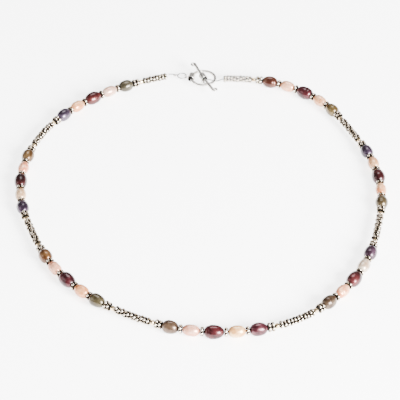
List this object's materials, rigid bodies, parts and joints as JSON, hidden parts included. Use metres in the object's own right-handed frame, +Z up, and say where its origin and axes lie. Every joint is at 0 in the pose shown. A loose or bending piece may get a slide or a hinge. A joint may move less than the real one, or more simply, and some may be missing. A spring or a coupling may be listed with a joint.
{
  "type": "pearl necklace",
  "caption": "Beaded necklace: groups of drilled pearls with granulated silver spacers, silver ring tubes and gold beads on one wire, closed by a ring-and-bar toggle clasp.",
  "frame": {"origin": "middle of the necklace's box, at the height of the surface it lies on", "axes": "+Z up from that surface; +Y from the middle of the strand towards the clasp; +X towards the right-hand side seen from the front of the strand with the clasp at the far side"},
  "size_m": [0.1438, 0.1628, 0.0056],
  "materials": {
    "pearl_olive": "nacre, glossy, olive to bronze",
    "pearl_pink": "nacre, glossy, pink to peach",
    "pearl_burgundy": "nacre, glossy, dyed wine red",
    "pearl_cream": "nacre, glossy, cream",
    "pearl_mauve": "nacre, glossy, purple grey",
    "daisy_silver": "sterling silver, oxidised in the recesses",
    "ring_silver": "sterling silver, oxidised in the recesses",
    "gold_beads": "pale gold plate, satin",
    "clasp_silver": "polished sterling silver",
    "beading_wire": "clear-coated stranded steel"
  },
  "bodies": {
    "front_strand": {"front_daisy_spacers": "daisy_silver", "front_gold_beads": "gold_beads", "beading_wire": "beading_wire"},
    "front_left_tube": {"front_left_tube_rings": "ring_silver"},
    "front_right_tube": {"front_right_tube_rings": "ring_silver"},
    "front_left_strand": {"front_left_daisy_spacers": "daisy_silver", "front_left_gold_beads": "gold_beads"},
    "front_right_strand": {"front_right_daisy_spacers": "daisy_silver", "front_right_gold_beads": "gold_beads"},
    "left_tube": {"left_tube_rings": "ring_silver"},
    "right_tube": {"right_tube_rings": "ring_silver"},
    "left_strand": {"left_daisy_spacers": "daisy_silver", "left_gold_beads": "gold_beads"},
    "right_strand": {"right_daisy_spacers": "daisy_silver", "right_gold_beads": "gold_beads"},
    "back_left_tube": {"back_left_tube_rings": "ring_silver"},
    "back_right_tube": {"back_right_tube_rings": "ring_silver"},
    "back_left_strand": {"back_left_daisy_spacers": "daisy_silver", "back_left_gold_beads": "gold_beads"},
    "back_right_strand": {"back_right_daisy_spacers": "daisy_silver", "back_right_gold_beads": "gold_beads"},
    "end_left_tube": {"end_left_tube_rings": "ring_silver"},
    "end_right_tube": {"end_right_tube_rings": "ring_silver"},
    "toggle_ring": {"toggle_ring": "clasp_silver"},
    "toggle_bar": {"toggle_bar": "clasp_silver"},
    "back_left_pearl_olive": {"back_left_pearl_olive": "pearl_olive"},
    "back_left_pearl_pink": {"back_left_pearl_pink": "pearl_pink"},
    "back_left_pearl_burgundy": {"back_left_pearl_burgundy": "pearl_burgundy"},
    "back_left_pearl_cream": {"back_left_pearl_cream": "pearl_cream"},
    "back_left_pearl_mauve": {"back_left_pearl_mauve": "pearl_mauve"},
    "left_pearl_olive": {"left_pearl_olive": "pearl_olive"},
    "left_pearl_pink": {"left_pearl_pink": "pearl_pink"},
    "left_pearl_burgundy": {"left_pearl_burgundy": "pearl_burgundy"},
    "left_pearl_cream": {"left_pearl_cream": "pearl_cream"},
    "left_pearl_mauve": {"left_pearl_mauve": "pearl_mauve"},
    "front_left_pearl_olive": {"front_left_pearl_olive": "pearl_olive"},
    "front_left_pearl_pink": {"front_left_pearl_pink": "pearl_pink"},
    "front_left_pearl_burgundy": {"front_left_pearl_burgundy": "pearl_burgundy"},
    "front_left_pearl_cream": {"front_left_pearl_cream": "pearl_cream"},
    "front_left_pearl_mauve": {"front_left_pearl_mauve": "pearl_olive"},
    "front_pearl_olive": {"front_pearl_olive": "pearl_olive"},
    "front_pearl_pink": {"front_pearl_pink": "pearl_pink"},
    "front_pearl_burgundy": {"front_pearl_burgundy": "pearl_burgundy"},
    "front_pearl_cream": {"front_pearl_cream": "pearl_cream"},
    "front_pearl_mauve": {"front_pearl_mauve": "pearl_mauve"},
    "front_right_pearl_olive": {"front_right_pearl_olive": "pearl_olive"},
    "front_right_pearl_pink": {"front_right_pearl_pink": "pearl_pink"},
    "front_right_pearl_burgundy": {"front_right_pearl_burgundy": "pearl_burgundy"},
    "front_right_pearl_cream": {"front_right_pearl_cream": "pearl_cream"},
    "front_right_pearl_mauve": {"front_right_pearl_mauve": "pearl_mauve"},
    "right_pearl_olive": {"right_pearl_olive": "pearl_olive"},
    "right_pearl_pink": {"right_pearl_pink": "pearl_pink"},
    "right_pearl_burgundy": {"right_pearl_burgundy": "pearl_burgundy"},
    "right_pearl_cream": {"right_pearl_cream": "pearl_cream"},
    "right_pearl_mauve": {"right_pearl_mauve": "pearl_mauve"},
    "back_right_pearl_olive": {"back_right_pearl_olive": "pearl_olive"},
    "back_right_pearl_pink": {"back_right_pearl_pink": "pearl_pink"},
    "back_right_pearl_burgundy": {"back_right_pearl_burgundy": "pearl_burgundy"},
    "back_right_pearl_cream": {"back_right_pearl_cream": "pearl_cream"},
    "back_right_pearl_mauve": {"back_right_pearl_mauve": "pearl_mauve"}
  },
  "joints": [
    {"name": "fold_1", "type": "hinge", "parent": "front_strand", "child": "front_left_tube", "pos_m": [-0.01689, -0.07386, 0.00275], "axis": [0.9994, -0.0349, 0], "range_deg": [-20, 20], "deforming": ["beading_wire"]},
    {"name": "fold_1_right_side", "type": "hinge", "parent": "front_strand", "child": "front_right_tube", "pos_m": [0.02736, -0.07541, 0.00275], "axis": [0.9994, -0.0349, 0], "range_deg": [-20, 20]},
    {"name": "fold_2", "type": "hinge", "parent": "front_left_tube", "child": "front_left_strand", "pos_m": [-0.03121, -0.06641, 0.00275], "axis": [0.9999, -0.0166, 0], "range_deg": [-20, 20]},
    {"name": "fold_2_right_side", "type": "hinge", "parent": "front_right_tube", "child": "front_right_strand", "pos_m": [0.04142, -0.06761, 0.00275], "axis": [0.9999, -0.0166, 0], "range_deg": [-20, 20]},
    {"name": "fold_3", "type": "hinge", "parent": "front_left_strand", "child": "left_tube", "pos_m": [-0.05984, -0.03229, 0.00275], "axis": [0.9998, 0.019, 0], "range_deg": [-20, 20]},
    {"name": "fold_3_right_side", "type": "hinge", "parent": "front_right_strand", "child": "right_tube", "pos_m": [0.06498, -0.02991, 0.00275], "axis": [0.9998, 0.019, 0], "range_deg": [-20, 20]},
    {"name": "fold_4", "type": "hinge", "parent": "left_tube", "child": "left_strand", "pos_m": [-0.0655, -0.01716, 0.00275], "axis": [0.9997, 0.0228, 0], "range_deg": [-20, 20]},
    {"name": "fold_4_right_side", "type": "hinge", "parent": "right_tube", "child": "right_strand", "pos_m": [0.06833, -0.01411, 0.00275], "axis": [0.9997, 0.0228, 0], "range_deg": [-20, 20]},
    {"name": "fold_5", "type": "hinge", "parent": "left_strand", "child": "back_left_tube", "pos_m": [-0.06588, 0.02734, 0.00275], "axis": [0.9998, 0.022, 0], "range_deg": [-20, 20]},
    {"name": "fold_5_right_side", "type": "hinge", "parent": "right_strand", "child": "back_right_tube", "pos_m": [0.06329, 0.03019, 0.00275], "axis": [0.9998, 0.022, 0], "range_deg": [-20, 20]},
    {"name": "fold_6", "type": "hinge", "parent": "back_left_tube", "child": "back_left_strand", "pos_m": [-0.05895, 0.04188, 0.00275], "axis": [0.9996, 0.0265, 0], "range_deg": [-20, 20]},
    {"name": "fold_6_right_side", "type": "hinge", "parent": "back_right_tube", "child": "back_right_strand", "pos_m": [0.05672, 0.04495, 0.00275], "axis": [0.9996, 0.0265, 0], "range_deg": [-20, 20]},
    {"name": "fold_7", "type": "hinge", "parent": "back_left_strand", "child": "end_left_tube", "pos_m": [-0.02434, 0.06991, 0.00275], "axis": [0.9995, 0.0321, 0], "range_deg": [-20, 20]},
    {"name": "fold_7_right_side", "type": "hinge", "parent": "back_right_strand", "child": "end_right_tube", "pos_m": [0.02224, 0.0714, 0.00275], "axis": [0.9995, 0.0321, 0], "range_deg": [-20, 20]},
    {"name": "clasp_bar_turn", "type": "hinge", "parent": "end_right_tube", "child": "toggle_bar", "pos_m": [0.0013, 0.07129, 0.00275], "axis": [0, 0, 1], "range_deg": [-60, 4]},
    {"name": "clasp_ring_swing", "type": "hinge", "parent": "end_left_tube", "child": "toggle_ring", "pos_m": [-0.00572, 0.07366, 0.00275], "axis": [0, 0, 1], "range_deg": [-20, 4]},
    {"name": "pearl_spin_front_olive", "type": "hinge", "parent": "front_strand", "child": "front_pearl_olive", "pos_m": [-0.01055, -0.0761, 0.00275], "axis": [0.9593, -0.2824, 0], "continuous": true},
    {"name": "pearl_spin_front_pink", "type": "hinge", "parent": "front_strand", "child": "front_pearl_pink", "pos_m": [-0.00313, -0.07781, 0.00275], "axis": [0.9863, -0.165, 0], "continuous": true},
    {"name": "pearl_spin_front_burgundy", "type": "hinge", "parent": "front_strand", "child": "front_pearl_burgundy", "pos_m": [0.00494, -0.07863, 0.00275], "axis": [0.9993, -0.0373, 0], "continuous": true},
    {"name": "pearl_spin_front_cream", "type": "hinge", "parent": "front_strand", "child": "front_pearl_cream", "pos_m": [0.01306, -0.07841, 0.00275], "axis": [0.9958, 0.091, 0], "continuous": true},
    {"name": "pearl_spin_front_mauve", "type": "hinge", "parent": "front_strand", "child": "front_pearl_mauve", "pos_m": [0.02073, -0.07723, 0.00275], "axis": [0.9772, 0.2124, 0], "continuous": true},
    {"name": "pearl_spin_front_left_olive", "type": "hinge", "parent": "front_left_strand", "child": "front_left_pearl_olive", "pos_m": [-0.05699, -0.03838, 0.00275], "axis": [0.4649, -0.8853, 0], "continuous": true},
    {"name": "pearl_spin_front_left_pink", "type": "hinge", "parent": "front_left_strand", "child": "front_left_pearl_pink", "pos_m": [-0.0531, -0.04493, 0.00275], "axis": [0.5534, -0.8329, 0], "continuous": true},
    {"name": "pearl_spin_front_left_burgundy", "type": "hinge", "parent": "front_left_strand", "child": "front_left_pearl_burgundy", "pos_m": [-0.04825, -0.05144, 0.00275], "axis": [0.6412, -0.7673, 0], "continuous": true},
    {"name": "pearl_spin_front_left_cream", "type": "hinge", "parent": "front_left_strand", "child": "front_left_pearl_cream", "pos_m": [-0.04271, -0.05737, 0.00275], "axis": [0.7213, -0.6926, 0], "continuous": true},
    {"name": "pearl_spin_front_left_mauve", "type": "hinge", "parent": "front_left_strand", "child": "front_left_pearl_mauve", "pos_m": [-0.03683, -0.06245, 0.00275], "axis": [0.7899, -0.6132, 0], "continuous": true},
    {"name": "pearl_spin_front_right_olive", "type": "hinge", "parent": "front_right_strand", "child": "front_right_pearl_olive", "pos_m": [0.04639, -0.06309, 0.00275], "axis": [0.7071, 0.7072, 0], "continuous": true},
    {"name": "pearl_spin_front_right_pink", "type": "hinge", "parent": "front_right_strand", "child": "front_right_pearl_pink", "pos_m": [0.05148, -0.05742, 0.00275], "axis": [0.6261, 0.7797, 0], "continuous": true},
    {"name": "pearl_spin_front_right_burgundy", "type": "hinge", "parent": "front_right_strand", "child": "front_right_pearl_burgundy", "pos_m": [0.05619, -0.05081, 0.00275], "axis": [0.5317, 0.8469, 0], "continuous": true},
    {"name": "pearl_spin_front_right_cream", "type": "hinge", "parent": "front_right_strand", "child": "front_right_pearl_cream", "pos_m": [0.0601, -0.0437, 0.00275], "axis": [0.4302, 0.9027, 0], "continuous": true},
    {"name": "pearl_spin_front_right_mauve", "type": "hinge", "parent": "front_right_strand", "child": "front_right_pearl_mauve", "pos_m": [0.06304, -0.03651, 0.00275], "axis": [0.3277, 0.9448, 0], "continuous": true},
    {"name": "pearl_spin_left_olive", "type": "hinge", "parent": "left_strand", "child": "left_pearl_olive", "pos_m": [-0.06761, 0.02084, 0.00275], "axis": [-0.2104, -0.9776, 0], "continuous": true},
    {"name": "pearl_spin_left_pink", "type": "hinge", "parent": "left_strand", "child": "left_pearl_pink", "pos_m": [-0.06881, 0.01332, 0.00275], "axis": [-0.1059, -0.9944, 0], "continuous": true},
    {"name": "pearl_spin_left_burgundy", "type": "hinge", "parent": "left_strand", "child": "left_pearl_burgundy", "pos_m": [-0.06922, 0.00521, 0.00275], "axis": [0.0066, -1, 0], "continuous": true},
    {"name": "pearl_spin_left_cream", "type": "hinge", "parent": "left_strand", "child": "left_pearl_cream", "pos_m": [-0.06871, -0.00289, 0.00275], "axis": [0.1191, -0.9929, 0], "continuous": true},
    {"name": "pearl_spin_left_mauve", "type": "hinge", "parent": "left_strand", "child": "left_pearl_mauve", "pos_m": [-0.06736, -0.01054, 0.00275], "axis": [0.2254, -0.9743, 0], "continuous": true},
    {"name": "pearl_spin_right_olive", "type": "hinge", "parent": "right_strand", "child": "right_pearl_olive", "pos_m": [0.06927, -0.00745, 0.00275], "axis": [0.0948, 0.9955, 0], "continuous": true},
    {"name": "pearl_spin_right_pink", "type": "hinge", "parent": "right_strand", "child": "right_pearl_pink", "pos_m": [0.06961, 0.00016, 0.00275], "axis": [-0.005, 1, 0], "continuous": true},
    {"name": "pearl_spin_right_burgundy", "type": "hinge", "parent": "right_strand", "child": "right_pearl_burgundy", "pos_m": [0.06914, 0.00827, 0.00275], "axis": [-0.1112, 0.9938, 0], "continuous": true},
    {"name": "pearl_spin_right_cream", "type": "hinge", "parent": "right_strand", "child": "right_pearl_cream", "pos_m": [0.06781, 0.01627, 0.00275], "axis": [-0.2163, 0.9763, 0], "continuous": true},
    {"name": "pearl_spin_right_mauve", "type": "hinge", "parent": "right_strand", "child": "right_pearl_mauve", "pos_m": [0.06574, 0.02376, 0.00275], "axis": [-0.3145, 0.9493, 0], "continuous": true},
    {"name": "pearl_spin_back_left_olive", "type": "hinge", "parent": "back_left_strand", "child": "back_left_pearl_olive", "pos_m": [-0.03048, 0.06716, 0.00275], "axis": [-0.8933, -0.4494, 0], "continuous": true},
    {"name": "pearl_spin_back_left_pink", "type": "hinge", "parent": "back_left_strand", "child": "back_left_pearl_pink", "pos_m": [-0.0371, 0.0634, 0.00275], "axis": [-0.8424, -0.5388, 0], "continuous": true},
    {"name": "pearl_spin_back_left_burgundy", "type": "hinge", "parent": "back_left_strand", "child": "back_left_pearl_burgundy", "pos_m": [-0.04368, 0.05865, 0.00275], "axis": [-0.7784, -0.6277, 0], "continuous": true},
    {"name": "pearl_spin_back_left_cream", "type": "hinge", "parent": "back_left_strand", "child": "back_left_pearl_cream", "pos_m": [-0.04971, 0.05322, 0.00275], "axis": [-0.7051, -0.7092, 0], "continuous": true},
    {"name": "pearl_spin_back_left_mauve", "type": "hinge", "parent": "back_left_strand", "child": "back_left_pearl_mauve", "pos_m": [-0.05489, 0.04743, 0.00275], "axis": [-0.6269, -0.7791, 0], "continuous": true},
    {"name": "pearl_spin_back_right_olive", "type": "hinge", "parent": "back_right_strand", "child": "back_right_pearl_olive", "pos_m": [0.05349, 0.05085, 0.00275], "axis": [-0.5422, 0.8403, 0], "continuous": true},
    {"name": "pearl_spin_back_right_pink", "type": "hinge", "parent": "back_right_strand", "child": "back_right_pearl_pink", "pos_m": [0.04885, 0.05688, 0.00275], "axis": [-0.6725, 0.7401, 0], "continuous": true},
    {"name": "pearl_spin_back_right_burgundy", "type": "hinge", "parent": "back_right_strand", "child": "back_right_pearl_burgundy", "pos_m": [0.04289, 0.06238, 0.00275], "axis": [-0.7914, 0.6113, 0], "continuous": true},
    {"name": "pearl_spin_back_right_cream", "type": "hinge", "parent": "back_right_strand", "child": "back_right_pearl_cream", "pos_m": [0.03606, 0.06676, 0.00275], "axis": [-0.8859, 0.4638, 0], "continuous": true},
    {"name": "pearl_spin_back_right_mauve", "type": "hinge", "parent": "back_right_strand", "child": "back_right_pearl_mauve", "pos_m": [0.02891, 0.06977, 0.00275], "axis": [-0.951, 0.3093, 0], "continuous": true}
  ],
  "couplings": [
    {"joint": "fold_1_right_side", "follows": "fold_1", "ratio": 1},
    {"joint": "fold_2_right_side", "follows": "fold_2", "ratio": 1},
    {"joint": "fold_3_right_side", "follows": "fold_3", "ratio": 1},
    {"joint": "fold_4_right_side", "follows": "fold_4", "ratio": 1},
    {"joint": "fold_5_right_side", "follows": "fold_5", "ratio": 1},
    {"joint": "fold_6_right_side", "follows": "fold_6", "ratio": 1},
    {"joint": "fold_7_right_side", "follows": "fold_7", "ratio": 1}
  ]
}
